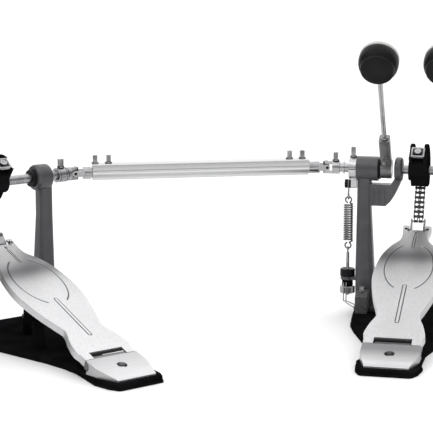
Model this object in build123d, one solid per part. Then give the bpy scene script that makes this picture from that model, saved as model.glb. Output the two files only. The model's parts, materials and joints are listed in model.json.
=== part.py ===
from build123d import *
import os
from math import atan2, cos, degrees, hypot, radians, sin

# Double bass drum pedal, in millimetres. The origin is on the floor under the main axle, on the centre
# plane of the main footboard. +X is the player's right along the main axle, +Y points at the drum.

# ---- driving dimensions -------------------------------------------------------------------------
AXLE_Z = 191.7           # height of both pedals' axles
AXLE_R = 6.0
AXLE_BORE = 6.05         # bore of everything clamped or running on an axle
HINGE_Y, HINGE_Z = -250.0, 16.5   # footboard hinge pin
HINGE_TOP_Z = 23.45      # top surface over the hinge
BOARD_ANGLE = 21.5       # slope of the footboard at rest
BOARD_LENGTH = 262.0
BOARD_THICK = 4.0
PAD_TOP, PLATE_TOP = 3.0, 7.5
BEATER_LEAN = 33.0       # beaters lean back towards the player
BEATER_RADIUS = 175.0    # axle to the centre of the head
LEFT_BEATER_X, MAIN_BEATER_X = -42.2, 38.0
HUB_R = 15.8             # bearing hubs on the posts
POST_OUT, POST_IN = 80.0, 52.5    # outer and inner face of a hub, from the centre plane
ARM_LEFT, ARM_RIGHT = -31.0, -21.4   # faces of the hub at the end of the left post's arm
SPRING_X = 91.5
ROLLER_DROP = 21.0       # spring roller below the axle
SPRING_PIVOT_Z = 83.6
SPUR_X, SPUR_Y = 67.5, -33.0      # bolt of the spur block
CHAIN_PITCH = 6.35
CHAIN_R = 27.0           # pitch radius of the chain on the cam
TOE_PIN_Y, TOE_PIN_Z = 2.0, 124.0
RUN_LINKS = 13
WRAP_START = 36.2        # angle of the first wrapped pin, from +Y towards +Z
WRAP_LINKS = 6
PLATE_ANGLE = 128.0      # where the clamp plate sits on the cam
MAIN_JOINT_X = -121.9    # universal joint at the main pedal
SLAVE_JOINT_X = 118.4    # the same at the slave pedal, in the slave's own frame
SHAFT_ANGLE = 202.2      # direction from the main joint to the slave joint
SHAFT_LENGTH = 327.6
TUBE_START, TUBE_END = 24.0, 306.0
SLAVE_X, SLAVE_Y, SLAVE_TURN = -499.98, -215.6, 50.85

AXLE = (0, 0, AXLE_Z)
SLAVE = Location((SLAVE_X, SLAVE_Y, 0), (0, 0, SLAVE_TURN))
SHAFT = Location((MAIN_JOINT_X, 0, AXLE_Z), (0, 0, SHAFT_ANGLE))
BOARD = Location((0, HINGE_Y, HINGE_TOP_Z), (BOARD_ANGLE, 0, 0))
HOME = Location((0, 0, 0))


# ---- helpers ------------------------------------------------------------------------------------
def block(x0, x1, y0, y1, z0, z1):
    """A box between two corners."""
    return Pos((x0 + x1) / 2, (y0 + y1) / 2, (z0 + z1) / 2) * Box(x1 - x0, y1 - y0, z1 - z0)


def bar_x(x0, x1, r, y=0.0, z=0.0):
    """A round bar along X."""
    return Pos((x0 + x1) / 2, y, z) * Rot(0, 90, 0) * Cylinder(r, abs(x1 - x0))


def bar_y(y0, y1, r, x=0.0, z=0.0):
    """A round bar along Y."""
    return Pos(x, (y0 + y1) / 2, z) * Rot(90, 0, 0) * Cylinder(r, abs(y1 - y0))


def bar_z(z0, z1, r, x=0.0, y=0.0):
    """A round bar along Z."""
    return Pos(x, y, (z0 + z1) / 2) * Cylinder(r, abs(z1 - z0))


def rod_between(a, b, r):
    """A round bar from point a to point b."""
    way = Vector(*b) - Vector(*a)
    return extrude(Plane(origin=a, z_dir=way) * Circle(r), amount=way.length)


def mirrored(solid):
    return mirror(solid, about=Plane.YZ)


def rounded(shape, radius, axis=Axis.Z):
    """Rounds the edges that run along one axis."""
    return fillet(shape.edges().filter_by(axis), radius)


def key_bolt(x, y, z, tip, head=12.0):
    """A drum-key bolt pointing down at (x, y): flange, square head and a shank that ends at height tip."""
    flange = bar_z(z, z + 1.8, 4.7, x, y)
    square = Pos(x, y, z + 1.8 + (head - 1.8) / 2) * Box(5.6, 5.6, head - 1.8)
    return flange + square + bar_z(tip, z, 2.0, x, y)


def save(name, shapes, place=HOME):
    """Writes one node: every solid of the shapes, moved to its place."""
    solids = [place * s for shape in shapes for s in shape.solids()]
    export_step(Compound(children=solids), f"parts/{name}.step")


# ---- base, heel and hinge -----------------------------------------------------------------------
MAIN_EDGE = [(80, 24), (80, -22), (78, -52), (74.5, -84), (66, -114), (47, -166), (41, -190), (36, -214),
             (36, -260)]
SLAVE_EDGE = [(92, 24), (92, -22), (47.7, -83), (39.7, -123), (32.2, -162), (28.9, -196), (29.5, -222)]
HEEL_EDGE = [(39.6, -274), (36.5, -297), (30, -311.2)]
FRONT_Y = 34.0


def base_outline(edge, grow):
    """The base's outline, mirrored about the centre plane, as a face on the floor."""
    half = [(70, FRONT_Y)] + edge + HEEL_EDGE
    points = half + [(-x, y) for x, y in reversed(half)]
    face = make_face(Polyline(*points, close=True))
    face = fillet(face.vertices(), 5)
    return offset(face, grow, kind=Kind.INTERSECTION) if grow else face


def base_plate(edge):
    plate = Pos(0, 0, PAD_TOP) * extrude(base_outline(edge, -1.0), amount=PLATE_TOP - PAD_TOP)
    for x in (-70, 70):
        for y in (-21, 21):
            plate -= bar_z(0, PLATE_TOP + 1, 2.1, x, y)
    return plate - bar_z(0, PLATE_TOP + 1, 2.6, 0, -272)


def base_pad(edge):
    return extrude(base_outline(edge, 0), amount=PAD_TOP)


def heel_block():
    """A wedge that narrows towards the player, with the middle knuckle of the board's hinge."""
    back, front = -250.3, -301.4
    side = make_face(Polyline((back, PLATE_TOP), (front, PLATE_TOP), (front, 9.4), (front + 3, 10.9),
                              (back, HINGE_TOP_Z), close=True))
    body = extrude(Plane.YZ * side, amount=34.7, both=True)
    plan = make_face(Polyline((-34.7, back), (34.7, back), (34.7, -272), (26, front), (-26, front),
                              (-34.7, -272), close=True))
    body = body & extrude(plan, amount=30)
    tongue = block(-21.2, 21.2, -251, -243.6, 11.2, 19) + bar_x(-21.2, 21.2, 5.3, HINGE_Y, HINGE_Z)
    tongue += block(-21.2, 21.2, -250.5, -241.4, 19, HINGE_TOP_Z)
    body -= bar_x(21.2, 36, 6.0, HINGE_Y, HINGE_Z) + bar_x(-36, -21.2, 6.0, HINGE_Y, HINGE_Z)
    body += tongue
    body -= bar_x(-36, 36, 2.55, HINGE_Y, HINGE_Z)
    body -= bar_z(5, 30, 2.6, 0, -272)
    return body - bar_z(12.5, 30, 6.1, 0, -272)


def hinge_pin():
    return bar_x(-34.2, 34.2, 2.5, HINGE_Y, HINGE_Z)


def heel_screw():
    head = bar_z(12.6, 15.8, 6.0, 0, -272) - bar_z(13.6, 16, 2.4, 0, -272)
    return head + bar_z(PAD_TOP + 0.2, 12.6, 2.5, 0, -272)


# ---- posts --------------------------------------------------------------------------------------
def tapered(z0, z1, low, high):
    """A post length between two rounded sections; each is (outer x, inner x, half depth)."""
    faces = []
    for z, (out, into, deep) in ((z0, low), (z1, high)):
        section = Pos((out + into) / 2, 0) * RectangleRounded(out - into, 2 * deep, 6)
        faces.append(Pos(0, 0, z) * section)
    return loft(faces)


def barrel_hub():
    """The slave's shorter hub, rounded at both ends."""
    hub = bar_x(POST_IN + 2, POST_OUT - 2.5, HUB_R + 0.6, 0, AXLE_Z)
    return fillet(hub.edges().filter_by(GeomType.CIRCLE), 5)


def post(side_spring, hub=None):
    """A right-hand post with its hub; side_spring adds the spring bracket."""
    body = tapered(PLATE_TOP + 4, 60, (79.4, 50.5, 15), (80.4, 56.5, 11.5))
    body += tapered(60, 144, (80.4, 56.5, 11.5), (79.7, 61.5, 9.6))
    body += tapered(144, AXLE_Z, (79.7, 61.5, 9.6), (79.7, 61.5, 9.6))
    foot = rounded(block(49, 79.6, -27, 27, PLATE_TOP, PLATE_TOP + 4.2), 5)
    for y in (-21, 21):
        foot -= bar_z(0, 20, 2.1, 70, y)
        body -= bar_z(0, 19, 4.6, 70, y)
    body += foot
    body += hub or bar_x(POST_IN, POST_OUT, HUB_R, 0, AXLE_Z)
    if side_spring:
        bracket = block(78, 94, -7, 7, 43.6, 47.6) + bar_z(43.6, 47.6, 9.2, SPRING_X, 0)
        body += bracket - bar_z(40, 50, 2.9, SPRING_X, 0)
    body -= bar_x(POST_IN - 1, 66, 11.05, 0, AXLE_Z)
    return body - bar_x(60, POST_OUT + 1, 7.0, 0, AXLE_Z)


def axle_arm():
    """The arm that reaches from the left post under the beater holder to the main axle's left end."""
    outline = [(-63, 144), (-42, 144), (-36, 150), (-31, 158), (-25.5, 170), (ARM_RIGHT, 181),
               (ARM_RIGHT, AXLE_Z), (ARM_LEFT, AXLE_Z), (ARM_LEFT, 180), (-36, 172), (-63, 172)]
    arm = extrude(Plane.XZ * make_face(Polyline(*outline, close=True)), amount=8, both=True)
    for x in (-57, -50, -43):
        arm -= block(x - 0.6, x + 0.6, -10, -7.4, 148, 167)
    hub = bar_x(ARM_LEFT, ARM_RIGHT, HUB_R, 0, AXLE_Z)
    arm += fillet(hub.edges().filter_by(GeomType.CIRCLE), 3)
    return arm - bar_x(ARM_LEFT - 1, ARM_RIGHT + 1, 8.55, 0, AXLE_Z)


def spur_block():
    """The boss that holds the left spur, in front of the post."""
    side = make_face(Polyline((-43, PLATE_TOP), (-27.4, PLATE_TOP), (-27.4, 12), (-15.6, 12), (-15.6, 31),
                              (-20, 35), (-36, 35), (-42, 29), close=True))
    body = extrude(Plane.YZ * side, amount=7.7, both=True)
    body = Pos(-SPUR_X, 0, 0) * body
    body -= bar_z(11, 15.3, 4.0, -70, -21)
    return body - bar_z(5, 40, 2.1, -SPUR_X, SPUR_Y)


def post_screw(x, y):
    return bar_z(PLATE_TOP + 4.2, 15, 3.4, x, y) + bar_z(PAD_TOP + 0.2, PLATE_TOP + 4.2, 2.0, x, y)


def hub_bearing(flange_r=13.4):
    """A flanged sleeve for a right-hand hub."""
    ring = bar_x(POST_IN, 66, 11.0) + bar_x(POST_IN - 2.6, POST_IN, flange_r)
    return Pos(0, 0, AXLE_Z) * (ring - bar_x(40, 70, AXLE_BORE))


def arm_bushing():
    sleeve = bar_x(ARM_LEFT, ARM_RIGHT, 8.5) - bar_x(ARM_LEFT - 1, ARM_RIGHT + 1, AXLE_BORE)
    return Pos(0, 0, AXLE_Z) * sleeve


# ---- springs ------------------------------------------------------------------------------------
def spring_rod():
    """Threaded rod with an eye on top, and its lock nut, for the right-hand side."""
    eye = bar_x(-1.5, 1.5, 4.2, 0, SPRING_PIVOT_Z) - bar_x(-2, 2, 2.5, 0, SPRING_PIVOT_Z)
    rod = Pos(SPRING_X, 0, 0) * (eye + bar_z(22, 80.2, 2.4))
    nut = bar_z(25, 34.6, 10, SPRING_X, 0) - bar_z(20, 40, 2.5, SPRING_X, 0)
    return [rod, nut]


def spring_bushes():
    top = bar_z(47.6, 58, 10, SPRING_X, 0) - bar_z(40, 60, 2.5, SPRING_X, 0)
    low = bar_z(34.8, 43.6, 7.6, SPRING_X, 0) - bar_z(30, 50, 2.5, SPRING_X, 0)
    return [top, low]


def wire_stay(side):
    """Two thin parallel wires from the spring bracket down to the spur block."""
    wires = []
    for shift in (-1.7, 1.7):
        top = (side * (SPRING_X + 1.5) + shift, -11.5, 41)
        knee = (side * (SPRING_X + 1.5) + shift, -12.5, 17)
        end = (side * 76.0, -38 + shift, 16 + shift)
        wire = rod_between(top, knee, 0.75) + rod_between(knee, end, 0.75)
        wires.append(wire + Pos(*knee) * Sphere(0.75))
    return wires


def spring_coil():
    """Envelope of the coil spring, with its two end rings."""
    tube = bar_z(93.5, 145, 6.6) - bar_z(94.7, 143.8, 4.6)
    rings = [Pos(0, 0, z) * Rot(90, 0, 0) * Torus(4.2, 0.9) for z in (149.2, 88.4)]
    return [Pos(SPRING_X, 0, 0) * s for s in (tube, *rings)]


def spring_hook():
    """The link from the rollers to the spring's top ring; its long eye lets the roller pin turn."""
    eye = block(-1, 1, -4.6, 4.6, 165.6, 176.6) + block(-1, 1, -1.8, 1.8, 157, 166)
    eye -= block(-2, 2, -3.0, 3.0, 167.4, 174.8)
    ring = block(-1, 1, -3.2, 3.2, 149.4, 158) - block(-2, 2, -1.6, 1.6, 151.6, 155.4)
    return Pos(SPRING_X, 0, 0) * (eye + ring)


def crank():
    """Right-hand spring crank: clamp hub, lobe, roller pin with two rollers, and a key bolt."""
    hub = bar_x(80.8, 90.3, 14.5, 0, AXLE_Z)
    lobe = block(80.8, 87.8, -7, 7, AXLE_Z - 26.2, AXLE_Z)
    body = hub + rounded(lobe, 3, Axis.X)
    body -= bar_x(80, 92, AXLE_BORE, 0, AXLE_Z)
    body -= bar_z(AXLE_Z + 5, AXLE_Z + 16, 2.1, 85.6, 0)
    roller_z = AXLE_Z - ROLLER_DROP
    body += bar_x(87.8, 96.6, 1.5, 0, roller_z)
    rollers = []
    for x0, x1 in ((88.0, 90.1), (92.9, 96.2)):
        rollers.append(bar_x(x0, x1, 5.8, 0, roller_z) - bar_x(x0 - 1, x1 + 1, 1.55, 0, roller_z))
    bolt = key_bolt(85.6, 0, AXLE_Z + 14.5, AXLE_Z + AXLE_R + 0.1, 13)
    return [body, *rollers, bolt]


# ---- footboard ----------------------------------------------------------------------------------
BOARD_EDGE = [(34.8, 9), (36.6, 20), (32.5, 40), (26.2, 60), (29.5, 74), (36, 98), (41, 124), (42.8, 146),
              (41, 170), (36.5, 194), (28.5, 213)]
NECK_HALF, TOE_HALF = 17.6, 18.3


def board_outline(inset):
    """Half-outline as a smooth curve, mirrored, then closed across heel and toe."""
    right = [(u - inset, v) for u, v in BOARD_EDGE] + [(NECK_HALF - inset, 232)]
    start, end = (34.8 - inset, 0.6 + inset), (TOE_HALF - inset, BOARD_LENGTH - inset)
    edges = []
    for sign in (1, -1):
        curve = Spline(*[(sign * u, v) for u, v in right])
        edges += [Line((sign * start[0], start[1]), (sign * right[0][0], right[0][1])), curve]
        edges.append(Line((sign * right[-1][0], right[-1][1]), (sign * end[0], end[1])))
    edges.append(Line((start[0], start[1]), (-start[0], start[1])))
    edges.append(Line((end[0], end[1]), (-end[0], end[1])))
    return make_face(Wire(edges))


def footboard():
    """Pressed board with a rolled skirt, hinge lugs, a heel window, a toe notch and shallow grooves."""
    skirt = extrude(board_outline(0), amount=-9.0) - extrude(board_outline(2.6), amount=-9.0)
    board = extrude(board_outline(0), amount=-BOARD_THICK) + skirt
    board -= block(-22, 22, -1, 10.2, -12, 1)                     # heel window
    board -= block(-10.4, 10.4, 251, 270, -12, 1)                 # toe notch
    board -= Pos(0, 85, 0) * Rot(0, 0, 90) * extrude(SlotOverall(80, 5.2), amount=-0.8)
    board -= Pos(0, 222, 0) * Rot(0, 0, 90) * extrude(SlotOverall(26, 2.6), amount=-0.8)
    ring = Ellipse(29, 52) - Ellipse(27.6, 50.6)
    grooves = Pos(0, 158, 0) * extrude(ring, amount=-0.7)
    board -= grooves & (block(-40, -10, 95, 205, -1, 1) + block(10, 40, 95, 205, -1, 1))
    board = BOARD * board
    for side in (-1, 1):
        lug = bar_x(side * 22.2, side * 34.5, 5.2, HINGE_Y, HINGE_Z)
        low, high = sorted((side * 22.2, side * 34.5))
        web = block(low, high, HINGE_Y + 0.6, HINGE_Y + 9, HINGE_Z - 2, HINGE_Z + 5.6)
        board += lug + web
    return board - bar_x(-40, 40, 2.56, HINGE_Y, HINGE_Z)


def toe_hook():
    """The bracket under the toe whose ears hold the chain's first pin."""
    plate = BOARD * block(-9.6, 9.6, 236, 256, -BOARD_THICK - 3, -BOARD_THICK)
    ears = []
    for side in (-1, 1):
        low, high = sorted((side * 7.3, side * 9.4))
        profile = [(TOE_PIN_Y - 3.4, TOE_PIN_Z), (TOE_PIN_Y + 3.4, TOE_PIN_Z), (TOE_PIN_Y + 3.4, 111),
                   (-10, 107.4), (-17, 106)]
        face = make_face(Polyline(*profile, close=True))
        ear = Pos(low, 0, 0) * extrude(Plane.YZ * face, amount=high - low)
        ears.append(ear + bar_x(low, high, 3.4, TOE_PIN_Y, TOE_PIN_Z))
    bracket = plate + ears[0] + ears[1] + block(-9.4, 9.4, -8, TOE_PIN_Y + 3.4, 108.4, 112)
    bracket -= bar_x(-10, 10, 1.15, TOE_PIN_Y, TOE_PIN_Z)
    return [bracket, bar_x(-9.9, 9.9, 1.1, TOE_PIN_Y, TOE_PIN_Z)]


# ---- chain --------------------------------------------------------------------------------------
def link_plate(x0, x1):
    """One chain plate in the YZ plane, from the pin at the origin to the pin one pitch up."""
    outline = Rot(0, 0, 90) * SlotCenterToCenter(CHAIN_PITCH, 5.0)
    plate = extrude(outline, amount=x1 - x0)
    return Pos(x0, 0, CHAIN_PITCH / 2) * Rot(0, 90, 0) * Rot(0, 0, 90) * plate


def outer_link():
    """Three plates and two pins that run through both rows."""
    link = bar_x(-6.7, 6.7, 1.1) + bar_x(-6.7, 6.7, 1.1, 0, CHAIN_PITCH)
    for x0, x1 in ((-6.5, -5.65), (-0.7, 0.7), (5.65, 6.5)):
        link += link_plate(x0, x1)
    return [link]


def inner_link():
    """The roller links of the two rows, each with two plates and two rollers."""
    links = []
    for row in (-3.17, 3.17):
        link = link_plate(row - 2.25, row - 1.5) + link_plate(row + 1.5, row + 2.25)
        for z in (0, CHAIN_PITCH):
            link += bar_x(row - 1.5, row + 1.5, 1.7, 0, z)
        for z in (0, CHAIN_PITCH):
            link -= bar_x(row - 3, row + 3, 1.25, 0, z)
        links.append(link)
    return links


def chain_lean():
    """Angle of the straight run from the vertical, tangent to the far side of the cam."""
    reach = hypot(TOE_PIN_Y, AXLE_Z - TOE_PIN_Z)
    to_axle = atan2(-TOE_PIN_Y, AXLE_Z - TOE_PIN_Z)
    return degrees(to_axle + atan2(CHAIN_R, (reach**2 - CHAIN_R**2)**0.5))


def chain_run():
    solids = []
    for k in range(RUN_LINKS):
        shapes = inner_link() if k % 2 == 0 else outer_link()
        along = Location((0, TOE_PIN_Y, TOE_PIN_Z), (-chain_lean(), 0, 0)) * Pos(0, 0, k * CHAIN_PITCH)
        solids += [along * s for s in shapes]
    return solids


def chain_wrap():
    """Links that stay on the cam up to the clamp plate."""
    step = 2 * degrees(atan2(CHAIN_PITCH / 2, (CHAIN_R**2 - CHAIN_PITCH**2 / 4)**0.5))
    solids = []
    for k in range(WRAP_LINKS):
        shapes = inner_link() if k % 2 == 0 else outer_link()
        angle = WRAP_START + k * step
        start = (0, CHAIN_R * cos(radians(angle)), AXLE_Z + CHAIN_R * sin(radians(angle)))
        solids += [Location(start, (angle + step / 2, 0, 0)) * s for s in shapes]
    return solids


# ---- axle parts ---------------------------------------------------------------------------------
PLATE_R = 30.6           # flat on the cam's rims for the clamp plate


def on_cam(shape):
    """Places a shape built over the cam's top at the clamp plate's angle."""
    return Location(AXLE, (PLATE_ANGLE - 90, 0, 0)) * shape


def cam():
    """Sprocket cam: a core that carries the chain and two rims, open on the player's side, and a hub."""
    body = bar_x(-7.3, 7.3, 22.6)
    for side in (-1, 1):
        body += bar_x(side * 7.1, side * 11.0, 34.0)
    body -= block(-20, 20, -40, 40, -40, -22.2)
    body = Pos(*AXLE) * body - on_cam(block(-14, 14, -40, -9.6, -40, 40))
    body += bar_x(-13, 13, 13.6, 0, AXLE_Z)
    body -= on_cam(block(-12, 12, -9.2, 9.2, PLATE_R, 40))
    body -= on_cam(bar_z(14, 40, 2.0))
    return body - bar_x(-20, 20, AXLE_BORE, 0, AXLE_Z)


def cam_plate():
    """Square clamp plate with a raised rim, and its screw."""
    plate = block(-8.6, 8.6, -8.2, 8.2, PLATE_R + 0.02, PLATE_R + 3.2)
    plate -= block(-6.4, 6.4, -6.0, 6.0, PLATE_R + 2.0, PLATE_R + 4)
    screw = bar_z(PLATE_R + 2.02, PLATE_R + 5, 4.4) + bar_z(15, PLATE_R + 2.02, 1.9)
    return [on_cam(plate - bar_z(PLATE_R - 1, PLATE_R + 4, 2.0)), on_cam(screw)]


def main_shaft():
    return bar_x(-31.4, 91.2, AXLE_R, 0, AXLE_Z)


def beater_holder(x):
    """Clamp that carries a beater rod, leaning back with it."""
    body = bar_x(-6.8, 6.8, 12.2) + rounded(block(-6.8, 6.8, -7.2, 7.2, 0, 52), 2.5)
    body -= bar_x(-8, 8, AXLE_BORE)
    body -= bar_z(13.6, 60, 3.3)
    body -= bar_y(-8, 0, 2.1, 0, 24)
    bolt = bar_y(-8.6, -7.2, 4.0, 0, 24) + bar_y(-7.2, -3.6, 2.0, 0, 24)
    bolt += block(-2.5, 2.5, -17.4, -8.6, 21.5, 26.5)
    place = Location((x, 0, AXLE_Z), (BEATER_LEAN, 0, 0))
    return [place * body, place * bolt]


def beater(x):
    """Rod, head shell and felt of one beater."""
    place = Location((x, 0, AXLE_Z), (BEATER_LEAN, 0, 0))
    rod = bar_z(17.4, BEATER_RADIUS + 12, 3.2)
    profile = Polyline((0, 7), (25, 7), (25, -1.6), (23.8, -8.6), (21.2, -12.6), (21, -16.2), (18.6, -18.5),
                       (0, -18.5), close=True)
    shell = revolve(make_face(profile), Axis.Y)
    head = Pos(0, 0, BEATER_RADIUS) * shell - bar_z(BEATER_RADIUS - 30, BEATER_RADIUS + 12.1, 3.25)
    pad = fillet(bar_y(7, 13, 24.6).edges().filter_by(GeomType.CIRCLE).group_by(Axis.Y)[-1], 2.5)
    felt = Pos(0, 0, BEATER_RADIUS) * pad
    return [[place * s] for s in (rod, head, felt)]


# ---- universal joints and drive shaft -----------------------------------------------------------
ARM_IN, ARM_OUT, ARM_HALF = 4.2, 8.0, 3.9
YOKE_HUB = 9.4           # from the joint centre to the yoke's hub


def yoke(hub_end, hub_r, bore):
    """A yoke along +X whose cross pin is vertical, with the joint centre at the origin."""
    body = bar_x(YOKE_HUB, hub_end, hub_r)
    for low, high in ((ARM_IN, ARM_OUT), (-ARM_OUT, -ARM_IN)):
        arm = block(0, YOKE_HUB + 2, -ARM_HALF, ARM_HALF, low, high) + bar_z(low, high, ARM_HALF)
        body += arm - bar_z(low - 1, high + 1, bore)
    return body


def joint_cross():
    """Cross with one pin pair along Y and one along Z."""
    core = Box(7.6, 7.6, 7.6)
    return core + bar_z(-7.9, 7.9, 2.0) + bar_y(-7.9, 7.9, 2.0)


def left_axle_shaft():
    """Left beater axle with its joint yoke and a key bolt."""
    body = bar_x(MAIN_JOINT_X + YOKE_HUB, -35.4, AXLE_R, 0, AXLE_Z)
    body += Location((MAIN_JOINT_X, 0, AXLE_Z)) * yoke(18.6, 8.6, 2.5)
    body += bar_x(-98.5, -96.5, 8.0, 0, AXLE_Z)
    bolt_x = MAIN_JOINT_X + 13
    body -= bar_z(AXLE_Z + 6.3, AXLE_Z + 12, 2.1, bolt_x, 0)
    return [body, key_bolt(bolt_x, 0, AXLE_Z + 8.7, AXLE_Z + 6.4, 11)]


def slave_shaft():
    """Slave axle with its joint yoke, the grooved collar and a key bolt."""
    body = bar_x(-91.2, SLAVE_JOINT_X - YOKE_HUB, AXLE_R, 0, AXLE_Z)
    body += Location((SLAVE_JOINT_X, 0, AXLE_Z), (0, 0, 180)) * yoke(14, 8.6, 2.5)
    collar = bar_x(89, 103, 9.2, 0, AXLE_Z) - bar_x(88, 105, AXLE_BORE, 0, AXLE_Z)
    for x in (91.8, 101):
        ring = bar_x(x - 0.6, x + 0.6, 12, 0, AXLE_Z) - bar_x(x - 1, x + 1, 8.5, 0, AXLE_Z)
        collar -= ring
    collar -= bar_z(AXLE_Z, AXLE_Z + 12, 2.1, 96.4, 0)
    return [body, collar, key_bolt(96.4, 0, AXLE_Z + 9.4, AXLE_Z + 6.2, 11)]


def drive_tube():
    """Outer tube: round below, flat on top, with a rib along each side."""
    round_part = Circle(9.6)
    top = Pos(0, 6) * RectangleRounded(18.4, 12, 2.4)
    rib = Pos(0, 3) * Rectangle(21, 1.6)
    section = Plane.YZ * (round_part + top + rib)
    tube = Pos(TUBE_START, 0, 0) * extrude(section, amount=TUBE_END - TUBE_START)
    tube -= bar_x(TUBE_START - 1, TUBE_END + 1, 6.5)
    for s in TUBE_BOLTS:
        tube -= bar_z(0, 14, 2.1, s, 0)
    return tube


TUBE_BOLTS = (31.9, 48.7, 284.9, 302.2)


def drive_tube_fittings():
    """The main-end yoke, fixed in the tube, and the four key bolts."""
    fixed = Rot(90, 0, 0) * (yoke(TUBE_START - 0.2, 8.0, 2.06)) + bar_x(12, 62, 6.44)
    return [fixed] + [key_bolt(s, 0, 12.05, 6.7, 10.5) for s in TUBE_BOLTS]


def drive_rod():
    """Inner rod that telescopes in the tube, with the slave-end yoke."""
    body = Location((SHAFT_LENGTH, 0, 0), (0, 0, 180)) * (Rot(90, 0, 0) * yoke(20, 8.0, 2.06))
    return body + bar_x(150, SHAFT_LENGTH - YOKE_HUB - 1, 6.2)


# ---- hoop clamp and strut -----------------------------------------------------------------------
JAW_Y, JAW_Z = 30.0, 24.0


def hoop_clamp_base():
    """Lower jaw plate with the two ears of the clamp's hinge, and the hinge pin."""
    base = block(-25, 25, 16, 62, PLATE_TOP, 12.5)
    for side in (-1, 1):
        low, high = sorted((side * 20.4, side * 25))
        base += block(low, high, JAW_Y - 6, JAW_Y + 6, 12.5, JAW_Z) + bar_x(low, high, 6, JAW_Y, JAW_Z)
    base -= bar_x(-30, 30, 2.5, JAW_Y, JAW_Z)
    return [base, bar_x(-25, 25, 2.45, JAW_Y, JAW_Z)]


def hoop_jaw():
    """Upper jaw: a rocker whose lip presses on the hoop."""
    body = block(-20, 20, 3, 61, JAW_Z, JAW_Z + 6) + bar_x(-20, 20, 6, JAW_Y, JAW_Z)
    body += block(-20, 20, 50, 61, 21, JAW_Z)
    body -= bar_x(-21, 21, 2.55, JAW_Y, JAW_Z)
    return body - bar_z(0, 40, 3.05, 0, 11)


def hoop_bolt():
    """Wing bolt through the back of the jaw, standing on the base plate."""
    bolt = bar_z(PLATE_TOP + 0.4, 44, 3.0, 0, 11) + bar_z(30.2, 33, 6, 0, 11)
    wings = bar_y(8.2, 13.8, 8.2, -9, 46) + bar_y(8.2, 13.8, 8.2, 9, 46)
    return bolt + wings + bar_z(38, 48, 5, 0, 11)


def strut():
    """Cast strut on the slave's base, under the footboard."""
    arch = make_face(Polyline((-44, PLATE_TOP), (-30, PLATE_TOP), (-22, 27), (22, 27), (30, PLATE_TOP),
                              (44, PLATE_TOP), (34, 40), (-34, 40), close=True))
    body = extrude(Plane.XZ * arch, amount=6.5, both=True)
    return Pos(0, -84, 0) * Rot(0, 0, 68) * body


# ---- write every node ---------------------------------------------------------------------------
def both(maker):
    """The same solids for the right-hand and the left-hand side."""
    right = maker()
    right = right if isinstance(right, list) else [right]
    return right + [mirrored(s) for s in right]


def left(shapes):
    return [mirrored(s) for s in shapes]


def write_pedal(name, edge, place):
    """The nodes that the two pedals share."""
    save(f"{name}_base_plate", [base_plate(edge)], place)
    save(f"{name}_base_pad", [base_pad(edge)], place)
    save(f"{name}_heel_block", [heel_block()], place)
    save(f"{name}_heel_fasteners", [hinge_pin(), heel_screw()], place)
    save(f"{name}_footboard", [footboard()], place)
    save(f"{name}_toe_hook", toe_hook(), place)
    save(f"{name}_chain_run", chain_run(), place)
    save(f"{name}_chain_wrap", chain_wrap(), place)
    save(f"{name}_cam", [cam()], place)
    save(f"{name}_cam_plate", cam_plate(), place)


def write_main():
    spurs = [spur_block(), mirrored(spur_block())]
    screws = [post_screw(x, y) for x in (-70, 70) for y in (-21, 21)]
    spur_bolts = [key_bolt(x, SPUR_Y, 35.05, 18, 7) for x in (-SPUR_X, SPUR_X)]
    save("main_left_post", [mirrored(post(True)) + axle_arm()])
    save("main_right_post", [post(True)])
    save("main_spur_blocks", spurs)
    save("main_frame_bolts", screws + spur_bolts)
    save("main_bearings", both(hub_bearing) + [arm_bushing()])
    save("spring_rods", both(spring_rod))
    save("spring_bushes", both(spring_bushes))
    save("spring_stays", wire_stay(-1) + wire_stay(1))
    save("hoop_clamp_base", hoop_clamp_base())
    save("hoop_jaw", [hoop_jaw()])
    save("hoop_bolt", [hoop_bolt()])
    save("main_axle_shaft", [main_shaft()])
    save("main_crank", crank())
    save("main_beater_holder", beater_holder(MAIN_BEATER_X))
    save("main_spring", spring_coil())
    save("main_spring_hook", [spring_hook()])


def write_left_drive():
    """The left beater's axle and everything on it."""
    save("left_axle_shaft", left_axle_shaft())
    save("left_crank", left(crank()))
    save("left_beater_holder", beater_holder(LEFT_BEATER_X))
    save("left_spring", left(spring_coil()))
    save("left_spring_hook", left([spring_hook()]))
    for name, x in (("left", LEFT_BEATER_X), ("main", MAIN_BEATER_X)):
        for piece, shapes in zip(("rod", "head", "felt"), beater(x)):
            save(f"{name}_beater_{piece}", shapes)


def write_drive_shaft():
    save("drive_tube", [drive_tube()], SHAFT)
    save("drive_tube_fittings", drive_tube_fittings(), SHAFT)
    save("drive_rod", [drive_rod()], SHAFT)
    save("main_joint_cross", [joint_cross()], SHAFT)
    save("slave_joint_cross", [Pos(SHAFT_LENGTH, 0, 0) * joint_cross()], SHAFT)


def write_slave():
    screws = [post_screw(x, y) for x in (-70, 70) for y in (-21, 21)]
    save("slave_posts", [post(False, barrel_hub()), mirrored(post(True, barrel_hub()))], SLAVE)
    save("slave_bearings", [hub_bearing(10.6), mirrored(hub_bearing(10.6))], SLAVE)
    save("slave_spring_rod", left(spring_rod() + spring_bushes()) + screws, SLAVE)
    save("slave_strut", [strut()], SLAVE)
    save("slave_axle_shaft", slave_shaft(), SLAVE)
    save("slave_crank", left(crank()), SLAVE)
    save("slave_spring", left(spring_coil()), SLAVE)
    save("slave_spring_hook", left([spring_hook()]), SLAVE)


os.makedirs("parts", exist_ok=True)
write_pedal("main", MAIN_EDGE, HOME)
write_pedal("slave", SLAVE_EDGE, SLAVE)
write_main()
write_left_drive()
write_drive_shaft()
write_slave()
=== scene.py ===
import bpy
import bmesh
import json
from math import asin, atan2, cos, degrees, exp, pi, radians, sin, sqrt
from mathutils import Matrix, Vector, noise


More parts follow.
